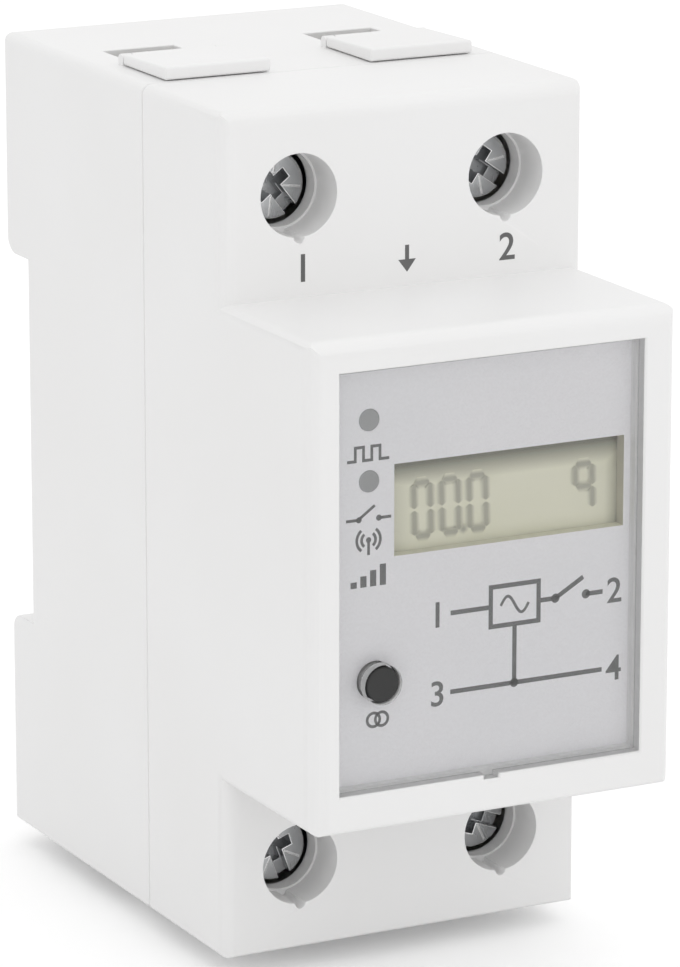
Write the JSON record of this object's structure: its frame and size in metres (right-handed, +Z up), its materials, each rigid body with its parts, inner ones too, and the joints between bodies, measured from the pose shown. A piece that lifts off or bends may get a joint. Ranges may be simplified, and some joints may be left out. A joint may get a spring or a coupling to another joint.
{
  "type": "smart energy monitor",
  "caption": "White rail-mounted single-phase energy monitor with lift-cage terminals, a windowed display nose, a push button and a sprung rail latch.",
  "frame": {"origin": "centre of the rail seat, on the flat face that meets the rail's front", "axes": "+X to the right seen from the front, +Y back towards the rail, +Z up"},
  "size_m": [0.036, 0.0639, 0.0809],
  "materials": {
    "case_white": "fine satin moulded",
    "clear_pane": "polished clear plastic",
    "label_silver": "matte silver-grey print",
    "indicator_grey": "smoked translucent",
    "lcd_glass": "reflective grey-green",
    "contact_rubber": "matte",
    "board_green": "solder mask",
    "screw_zinc": "bright zinc plate",
    "lamp_clear": "clear resin",
    "component_black": "matte moulded",
    "button_black": "matte moulded",
    "film_yellow": "gloss moulded",
    "disc_blue": "dipped coating",
    "copper": "bright copper strip",
    "manganin": "dull resistance alloy",
    "cage_steel": "yellow passivated",
    "spring_steel": "drawn wire"
  },
  "bodies": {
    "case": {"rear_housing": "case_white", "front_cover": "case_white", "clear_window": "clear_pane", "label_plate": "label_silver", "indicator_windows": "indicator_grey", "lcd_panel": "lcd_glass", "lcd_holder": "case_white", "contact_strips": "contact_rubber", "display_board": "board_green", "board_screws": "screw_zinc", "status_leds": "lamp_clear", "tact_switch": "component_black", "metering_board": "board_green", "wireless_module": "component_black", "metering_chip": "component_black", "board_header": "component_black", "supply_capacitor": "component_black", "filter_capacitor": "film_yellow", "supply_transformer": "component_black", "varistor": "disc_blue", "latching_relay": "component_black", "relay_bridge": "copper", "current_shunt": "manganin", "line_in_busbar": "copper", "line_out_busbar": "copper", "neutral_busbar": "copper", "latch_spring": "spring_steel"},
    "latch": {"rail_latch": "case_white"},
    "button": {"pair_button": "button_black"},
    "neutral_in_screw": {"neutral_in_screw": "screw_zinc"},
    "neutral_in_cage": {"neutral_in_cage": "cage_steel"},
    "neutral_in_flap": {"neutral_in_flap": "case_white"},
    "line_in_screw": {"line_in_screw": "screw_zinc"},
    "line_in_cage": {"line_in_cage": "cage_steel"},
    "line_in_flap": {"line_in_flap": "case_white"},
    "neutral_out_screw": {"neutral_out_screw": "screw_zinc"},
    "neutral_out_cage": {"neutral_out_cage": "cage_steel"},
    "neutral_out_flap": {"neutral_out_flap": "case_white"},
    "line_out_screw": {"line_out_screw": "screw_zinc"},
    "line_out_cage": {"line_out_cage": "cage_steel"},
    "line_out_flap": {"line_out_flap": "case_white"}
  },
  "joints": [
    {"name": "latch_pull", "type": "slide", "parent": "case", "child": "latch", "axis": [0, 0, -1], "range_m": [0, 0.004], "stiffness_N_per_m": 600, "springref_m": -0.002, "deforming": ["latch_spring"]},
    {"name": "button_press", "type": "slide", "parent": "case", "child": "button", "axis": [0, 1, 0], "range_m": [0, 0.0004], "stiffness_N_per_m": 2000},
    {"name": "neutral_in_turn", "type": "hinge", "parent": "case", "child": "neutral_in_screw", "pos_m": [-0.01035, -0.0364, 0.03085], "axis": [0, -1, 0], "range_deg": [-2250, 0]},
    {"name": "neutral_in_lift", "type": "slide", "parent": "case", "child": "neutral_in_cage", "axis": [0, 1, 0], "range_m": [-0.005, 0]},
    {"name": "neutral_in_open", "type": "hinge", "parent": "case", "child": "neutral_in_flap", "pos_m": [-0.01035, -0.0162, 0.03938], "axis": [-1, 0, 0], "range_deg": [0, 90]},
    {"name": "line_in_turn", "type": "hinge", "parent": "case", "child": "line_in_screw", "pos_m": [0.01035, -0.0364, 0.03085], "axis": [0, -1, 0], "range_deg": [-2250, 0]},
    {"name": "line_in_lift", "type": "slide", "parent": "case", "child": "line_in_cage", "axis": [0, 1, 0], "range_m": [-0.005, 0]},
    {"name": "line_in_open", "type": "hinge", "parent": "case", "child": "line_in_flap", "pos_m": [0.01035, -0.0162, 0.03938], "axis": [-1, 0, 0], "range_deg": [0, 90]},
    {"name": "neutral_out_turn", "type": "hinge", "parent": "case", "child": "neutral_out_screw", "pos_m": [-0.01035, -0.0364, -0.03085], "axis": [0, -1, 0], "range_deg": [-2250, 0]},
    {"name": "neutral_out_lift", "type": "slide", "parent": "case", "child": "neutral_out_cage", "axis": [0, 1, 0], "range_m": [-0.005, 0]},
    {"name": "neutral_out_open", "type": "hinge", "parent": "case", "child": "neutral_out_flap", "pos_m": [-0.01035, -0.0162, -0.03938], "axis": [1, 0, 0], "range_deg": [0, 90]},
    {"name": "line_out_turn", "type": "hinge", "parent": "case", "child": "line_out_screw", "pos_m": [0.01035, -0.0364, -0.03085], "axis": [0, -1, 0], "range_deg": [-2250, 0]},
    {"name": "line_out_lift", "type": "slide", "parent": "case", "child": "line_out_cage", "axis": [0, 1, 0], "range_m": [-0.005, 0]},
    {"name": "line_out_open", "type": "hinge", "parent": "case", "child": "line_out_flap", "pos_m": [0.01035, -0.0162, -0.03938], "axis": [1, 0, 0], "range_deg": [0, 90]}
  ],
  "couplings": [
    {"joint": "neutral_in_turn", "follows": "neutral_in_lift", "rad_per_m": 7853.9},
    {"joint": "line_in_turn", "follows": "line_in_lift", "rad_per_m": 7853.9},
    {"joint": "neutral_out_turn", "follows": "neutral_out_lift", "rad_per_m": 7853.9},
    {"joint": "line_out_turn", "follows": "line_out_lift", "rad_per_m": 7853.9}
  ]
}
